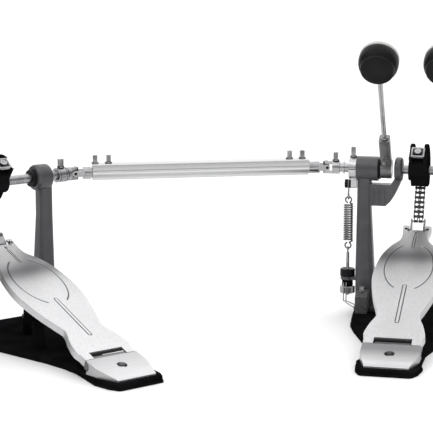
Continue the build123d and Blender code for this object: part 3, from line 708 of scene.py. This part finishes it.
def build_spring(name, place, side):
    """A wound spring coil between its two hook rings, and the wire hook over the crank's pin."""
    x = side * SPRING_X
    shifted = [(p[0] + x, p[1], p[2]) for p in coil_points()]
    coil = new_piece(f"{name}_spring_coil", *tube_along(shifted, 1.1, 10), SPRING, place, 80.0)
    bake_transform(coil)
    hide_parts(f"{name}_spring")
    hook = [(x, 1.2, 155.9), (x, 2.0, 154.2), (x, 1.5, 151.6), (x, 0.0, 150.5), (x, -1.5, 151.6),
            (x, -2.0, 154.5), (x, -1.2, 158.5), (x, 0.0, 162.5)]
    loop = [(x, -3.8 * sin(a), 170.9 - 4.6 * cos(a)) for a in [radians(12 * k) for k in range(1, 29)]]
    wire = tube_along(smooth_line(hook + loop), 1.15, 10)
    piece = new_piece(f"{name}_spring_wire_hook", *wire, STEEL, place, 80.0)
    stand_for(piece, f"{name}_spring_hook")


def smooth_line(points, steps=4):
    """Points along a smooth curve through the given ones."""
    pts = [Vector(p) for p in points]
    line = []
    for i in range(len(pts) - 1):
        p0, p1, p2, p3 = pts[max(i - 1, 0)], pts[i], pts[i + 1], pts[min(i + 2, len(pts) - 1)]
        for k in range(steps):
            t = k / steps
            line.append(0.5 * ((2 * p1) + (p2 - p0) * t + (2 * p0 - 5 * p1 + 4 * p2 - p3) * t**2
                               + (3 * p1 - p0 - 3 * p2 + p3) * t**3))
    return line + [pts[-1]]


def thread_profile(low, high, radius, pitch=0.9):
    """Profile of a threaded stud: small ridges between two heights."""
    profile = [(radius * 0.82, low)]
    z = low + 0.4
    while z < high - pitch:
        profile += [(radius * 0.84, z), (radius, z + pitch * 0.5)]
        z += pitch
    return profile + [(radius * 0.84, high)]


def knurled(low, high, radius, flutes=30):
    """A fluted nut: a crown of small ribs between two chamfers."""
    heights = [(low, radius - 1.2), (low + 1.0, radius), (high - 1.0, radius), (high, radius - 1.2)]
    sides = flutes * 4
    verts, faces = [], []
    for z, r in heights:
        for k in range(sides):
            a = 2 * pi * k / sides
            depth = 0.55 if k % 4 in (2, 3) else 0.0
            verts.append(((r - depth) * cos(a), (r - depth) * sin(a), z))
    for i in range(len(heights) - 1):
        faces += ring_faces(i * sides, (i + 1) * sides, sides)
    faces += [tuple(range(sides)), tuple(range(3 * sides, 4 * sides))]
    return verts, faces


def moved(part, shift):
    """A part shifted by (x, y, z)."""
    verts, faces = part
    return [tuple(a + b for a, b in zip(v, shift)) for v in verts], faces


def build_spring_adjuster(name, place, side, rod_node, bush_node):
    """Eye rod with a thread, black collar, rubber bush and bright fluted nut."""
    x = side * SPRING_X
    eye = [(0.0, 3.3 * cos(a), SPRING_EYE_Z + 3.3 * sin(a)) for a in [2 * pi * k / 28 for k in range(28)]]
    rod = lathe([(1.2, 80.0), (2.0, 79.0), (2.1, 72.0)] + thread_profile(22.2, 71.6, 2.35)[::-1])
    pieces = [(f"{name}_eye_rod", joined([tube_along(eye, 0.9, 10, True), rod]), STEEL, rod_node)]
    pieces.append((f"{name}_lock_nut", knurled(25.0, 34.6, 9.9), CHROME, rod_node))
    collar = lathe([(8.6, 47.7), (9.7, 48.6), (9.8, 56.6), (8.8, 57.8), (5.0, 57.9), (4.4, 57.2),
                    (2.6, 57.2)])
    bush = lathe([(6.6, 34.9), (7.4, 36.0), (7.0, 39.2), (7.4, 42.6), (6.8, 43.5), (2.6, 43.5)])
    pieces.append((f"{name}_spring_collar", collar, PLASTIC, bush_node))
    pieces.append((f"{name}_spring_bush", bush, RUBBER, bush_node))
    for piece_name, part, material, node in pieces:
        piece = new_piece(piece_name, *moved(part, (x, 0, 0)), material, place)
        stand_for(piece, node)


def build_stays():
    """Thin bright wires from the spring bracket down to the spur block, on both sides."""
    parts = []
    for side in (-1, 1):
        for shift in (-1.7, 1.7):
            x = side * (SPRING_X + 1.5) + shift
            line = [(x, -11.5, 41), (x, -12.0, 30), (x, -12.4, 20), (x, -12.8, 17),
                    (x - side * 2, -15, 16.8), (x - side * 8, -25, 16.4 + shift * 0.5),
                    (side * 75.9, -37.8 + shift, 16 + shift)]
            parts.append(tube_along(smooth_line(line, 6), 0.72, 10))
    stand_for(new_piece("stay_wires", *joined(parts), STEEL, MAIN, 80.0), "spring_stays")


# ---- beaters ------------------------------------------------------------------------------------
HEAD_PROFILE = [(0.6, -18.5), (14.0, -18.5), (18.6, -18.2), (20.2, -17.4), (20.9, -16.2), (21.0, -14.6),
                (21.1, -12.9), (21.4, -12.4), (22.6, -11.0), (23.8, -8.6), (24.6, -5.4), (25.0, -1.6),
                (25.0, 4.0), (24.6, 5.8), (23.6, 6.9), (0.6, 7.0)]
FELT_PROFILE = [(0.6, 7.05), (24.0, 7.1), (24.5, 7.8), (24.6, 10.0), (24.1, 11.8), (22.6, 12.8), (18.0, 13.0),
                (10.0, 13.0), (0.6, 13.0)]


def build_beater(name, x):
    """Head shell, felt, rod and the nut round the rod's foot."""
    axle = MAIN @ Matrix.Translation(Vector((x, 0, AXLE_Z)) * MM)
    place = axle @ Matrix.Rotation(radians(BEATER_LEAN), 4, "X")
    centre = (0, 0, BEATER_RADIUS)
    head = new_piece(f"{name}_beater_shell", *lathe(HEAD_PROFILE, centre, "Y", 96), GLOSS, place, 42.0)
    pad = new_piece(f"{name}_beater_pad", *lathe(FELT_PROFILE, centre, "Y", 96), FELT, place, 60.0)
    for v in pad.data.vertices:
        v.co += v.normal * 0.00022 * noise.noise(v.co * 260)
    rod = lathe([(2.2, 17.4), (3.2, 18.4), (3.2, BEATER_RADIUS + 11), (2.4, BEATER_RADIUS + 12)], sides=40)
    shaft = new_piece(f"{name}_beater_bar", *rod, CHROME, place)
    nut = lathe([(3.3, 52.2), (5.0, 52.3), (5.2, 53.2), (4.6, 54.4), (3.3, 54.6)], sides=6)
    stand_for(head, f"{name}_beater_head")
    stand_for(pad, f"{name}_beater_felt")
    stand_for(shaft, f"{name}_beater_rod")
    cone = new_piece(f"{name}_holder_ring", *nut, STEEL, place)
    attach(cone, body_of_node(f"{name}_beater_holder"))


# ---- everything that keeps its CAD shape --------------------------------------------------------
BOLTS = [("bolt", BOLT)]
BOLTS_AND_ROLLERS = [("bolt", BOLT), ("roller", PLASTIC)]
FINISHES = [     # material, bevel width, bevel segments, materials of small solids, nodes
    (CAST, 1.4, 3, (), ["main_left_post", "main_right_post", "slave_posts"]),
    (CAST, 0.6, 2, (), ["hoop_clamp_base", "hoop_jaw"]),
    (SPUR, 1.2, 3, (), ["main_spur_blocks"]),
    (BLACK, 0.8, 2, (), ["main_base_plate", "slave_base_plate", "slave_strut"]),
    (RUBBER, 0.5, 2, (), ["main_base_pad", "slave_base_pad"]),
    (BLACK, 0.5, 2, (), ["main_cam", "slave_cam"]),
    (CHROME, 0.3, 2, BOLTS, ["left_axle_shaft", "drive_tube_fittings", "drive_rod", "hoop_bolt"]),
    (STEEL, 0.3, 2, BOLTS, ["main_axle_shaft", "slave_axle_shaft"]),
    (BOLT, 0.3, 2, (), ["main_frame_bolts"]),
    (DARK, 0.3, 2, (), ["main_joint_cross", "slave_joint_cross"]),
    (BRIGHT, 0.5, 2, BOLTS_AND_ROLLERS, ["main_crank", "left_crank", "slave_crank"]),
    (STEEL, 0.4, 2, (), ["main_cam_plate", "slave_cam_plate"]),
    (HOLDER, 0.9, 3, [("clamp", BRIGHT)], ["main_beater_holder", "left_beater_holder"]),
    (CHAIN, 0.12, 1, (), ["main_chain_run", "main_chain_wrap", "slave_chain_run", "slave_chain_wrap"]),
    (PLASTIC, 0.4, 2, (), ["main_bearings", "slave_bearings"]),
]


def build_finishes():
    """Finished copies of the nodes listed above."""
    for material, width, segments, extras, nodes in FINISHES:
        for node in nodes:
            finish_node(node, material, width, segments, extras)


RIB_FOOT, RIB_CREST, RIB_REACH = 2.2, 3.8, 10.5       # small rib along each side of the tube
FLAT_HALF, FLAT_TOP, CORNER = 9.2, 12.0, 2.4          # its square upper part


def tube_outline():
    """The tube's section as (across, up): round below, a small rib on each side, flat on top."""
    foot, crest, reach, chamfer = RIB_FOOT, RIB_CREST, RIB_REACH, 0.3
    rise = asin(foot / TUBE_R)
    right = [(TUBE_R * cos(rise), foot), (reach - chamfer, foot), (reach, foot + chamfer),
             (reach, crest - chamfer), (reach - chamfer, crest), (FLAT_HALF, crest)]
    bend = [radians(15 * k) for k in range(7)]
    right += [(FLAT_HALF - CORNER * (1 - cos(a)), FLAT_TOP - CORNER * (1 - sin(a))) for a in bend]
    turns = [pi - rise + k * (pi + 2 * rise) / 40 for k in range(1, 40)]
    below = [(TUBE_R * cos(a), TUBE_R * sin(a)) for a in turns]
    return right + [(-u, v) for u, v in reversed(right)] + below


def build_tube():
    """The outer tube of the drive shaft, with a small chamfer at both ends and an open bore."""
    outline = tube_outline()
    bore = [Vector(p).normalized() * TUBE_BORE for p in outline]
    chamfered = [(u * 0.965, 2 + (v - 2) * 0.965) for u, v in outline]
    rings = [(TUBE_START, bore), (TUBE_START, chamfered), (TUBE_START + 0.4, outline),
             (TUBE_END - 0.4, outline), (TUBE_END, chamfered), (TUBE_END, bore)]
    verts = [(x, *p) for x, ring in rings for p in ring]
    count = len(outline)
    faces = []
    for i in range(len(rings)):
        faces += ring_faces(i * count, (i + 1) % len(rings) * count, count)
    stand_for(new_piece("drive_tube_shell", verts, faces, TUBE, SHAFT, 32.0), "drive_tube")


def build_plate_recess(name, place):
    """A dark floor of painted shade in the recess of the cam's clamp plate, and the bright screw in its middle."""
    turn = turned(PLATE_ANGLE - 90, "X", (0, 0, AXLE_Z))
    foot = AXLE_Z + PLATE_R
    # Painted shade: a thin dark plate laid on the recess floor.
    floor = box((-6.2, 6.2), (-5.8, 5.8), (foot + 2.02, foot + 2.2))
    ring = lathe([(2.2, 2.1), (4.5, 2.1), (4.5, 4.6), (4.0, 5.1), (2.4, 5.1), (2.2, 4.7)],
                 (0, 0, foot), sides=32)
    for part_name, part, material in (("recess_shade", floor, DARK), ("screw_head", ring, CHROME)):
        piece = new_piece(f"{name}_plate_{part_name}", *part, material, place @ turn)
        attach(piece, body_of_node(f"{name}_cam_plate"))


def build_crank_split(name, place, side):
    """The saw cut that lets the crank's hub clamp its axle."""
    along = sorted((side * 81.2, side * 89.9))
    height = (AXLE_Z - 0.5, AXLE_Z + 0.5)
    halves = [box(along, across, height) for across in ((-14.56, -6.4), (6.4, 14.56))]
    piece = new_piece(f"{name}_crank_split", *joined(halves), DARK, place)
    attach(piece, body_of_node(f"{name}_crank"))


# ---- stage --------------------------------------------------------------------------------------
CAMERA_AT = (0.24784, -2.23605, 0.54368)
CAMERA_WAY = (-0.22133, 0.95812, -0.18173)
CAMERA_LENS, SENSOR = 145.6, 36.0


def build_camera():
    """A long lens in front of the pedals, looking a little down and to the left."""
    data = bpy.data.cameras.new("camera")
    data.lens, data.sensor_width, data.clip_end = CAMERA_LENS, SENSOR, 50
    camera = bpy.data.objects.new("camera", data)
    camera.location = CAMERA_AT
    camera.rotation_euler = Vector(CAMERA_WAY).to_track_quat("-Z", "Y").to_euler()
    bpy.context.scene.collection.objects.link(camera)
    bpy.context.scene.camera = camera


def area_light(name, place, target, size, energy):
    """A soft rectangular light that faces a point."""
    data = bpy.data.lights.new(name, "AREA")
    data.shape, data.size, data.size_y, data.energy = "RECTANGLE", size[0], size[1], energy
    light = bpy.data.objects.new(name, data)
    light.location = place
    light.rotation_euler = (Vector(target) - Vector(place)).to_track_quat("-Z", "Y").to_euler()
    bpy.context.scene.collection.objects.link(light)


def build_world():
    """Bright overhead and behind; darker behind the viewer and at both sides, for the metal to mirror."""
    world = bpy.data.worlds.new("surround")
    world.use_nodes = True
    tree = world.node_tree

    def math(operation, a, b):
        node = tree.nodes.new("ShaderNodeMath")
        node.operation = operation
        for socket, value in zip(node.inputs, (a, b)):
            if isinstance(value, bpy.types.NodeSocket):
                tree.links.new(value, socket)
            else:
                socket.default_value = value
        return node.outputs[0]

    def ramp(value, start, end, low, high):
        node = tree.nodes.new("ShaderNodeMapRange")
        node.interpolation_type = "SMOOTHSTEP"
        for socket, number in (("From Min", start), ("From Max", end), ("To Min", low), ("To Max", high)):
            node.inputs[socket].default_value = number
        tree.links.new(value, node.inputs["Value"])
        return node.outputs["Result"]

    split = tree.nodes.new("ShaderNodeSeparateXYZ")
    tree.links.new(tree.nodes.new("ShaderNodeTexCoord").outputs["Generated"], split.inputs[0])
    x, y, z = split.outputs
    height = math("ADD", math("MULTIPLY", y, 0.7), math("MULTIPLY", z, 0.75))
    sides = ramp(math("ABSOLUTE", x, 0.0), 0.5, 0.92, 1.0, 0.18)
    strength = math("MULTIPLY", ramp(height, -0.75, 0.45, 0.32, 1.5), sides)
    tree.links.new(strength, tree.nodes["Background"].inputs["Strength"])
    tree.nodes["Background"].inputs["Color"].default_value = (1, 1, 1, 1)
    bpy.context.scene.world = world


def build_stage():
    """A large pale floor, a soft white surround and three soft lights."""
    mesh = bpy.data.meshes.new("floor")
    mesh.from_pydata([(-30, -30, 0), (30, -30, 0), (30, 30, 0), (-30, 30, 0)], [], [(0, 1, 2, 3)])
    floor = bpy.data.objects.new("floor", mesh)
    bpy.context.scene.collection.objects.link(floor)
    m = Nodes("pale_floor", (0.93, 0.93, 0.93), 0.0, 0.85)
    m.set("Base Color", m.mix(m.spread(m.noise(3.0), 0.0, 1.0), (0.92, 0.92, 0.92), (0.94, 0.94, 0.94)))
    mesh.materials.append(m.material)
    build_world()
    middle = (-0.22, -0.1, 0.12)
    area_light("key", (-1.3, -1.6, 2.4), middle, (1.3, 1.3), 9)
    area_light("fill", (1.8, -1.4, 1.3), middle, (1.2, 1.6), 3)
    area_light("back", (0.2, 2.2, 1.9), middle, (2.2, 1.0), 6)
    bpy.context.scene.view_settings.view_transform = "Standard"


build_camera()
build_stage()
build_boards()
for body, place, side, rods, bushes in (("main", MAIN, 1, "spring_rods", "spring_bushes"),
                                        ("left", MAIN, -1, "spring_rods", "spring_bushes"),
                                        ("slave", SLAVE, -1, "slave_spring_rod", "slave_spring_rod")):
    build_spring(body, place, side)
    build_spring_adjuster(body, place, side, rods, bushes)
build_stays()
for beater, x in HOLDER_X.items():
    build_beater(beater, x)
for body, place, side in (("main", MAIN, 1), ("left", MAIN, -1), ("slave", SLAVE, -1)):
    build_crank_split(body, place, side)
build_plate_recess("main", MAIN)
build_plate_recess("slave", SLAVE)
build_tube()
build_finishes()
bpy.context.view_layer.update()
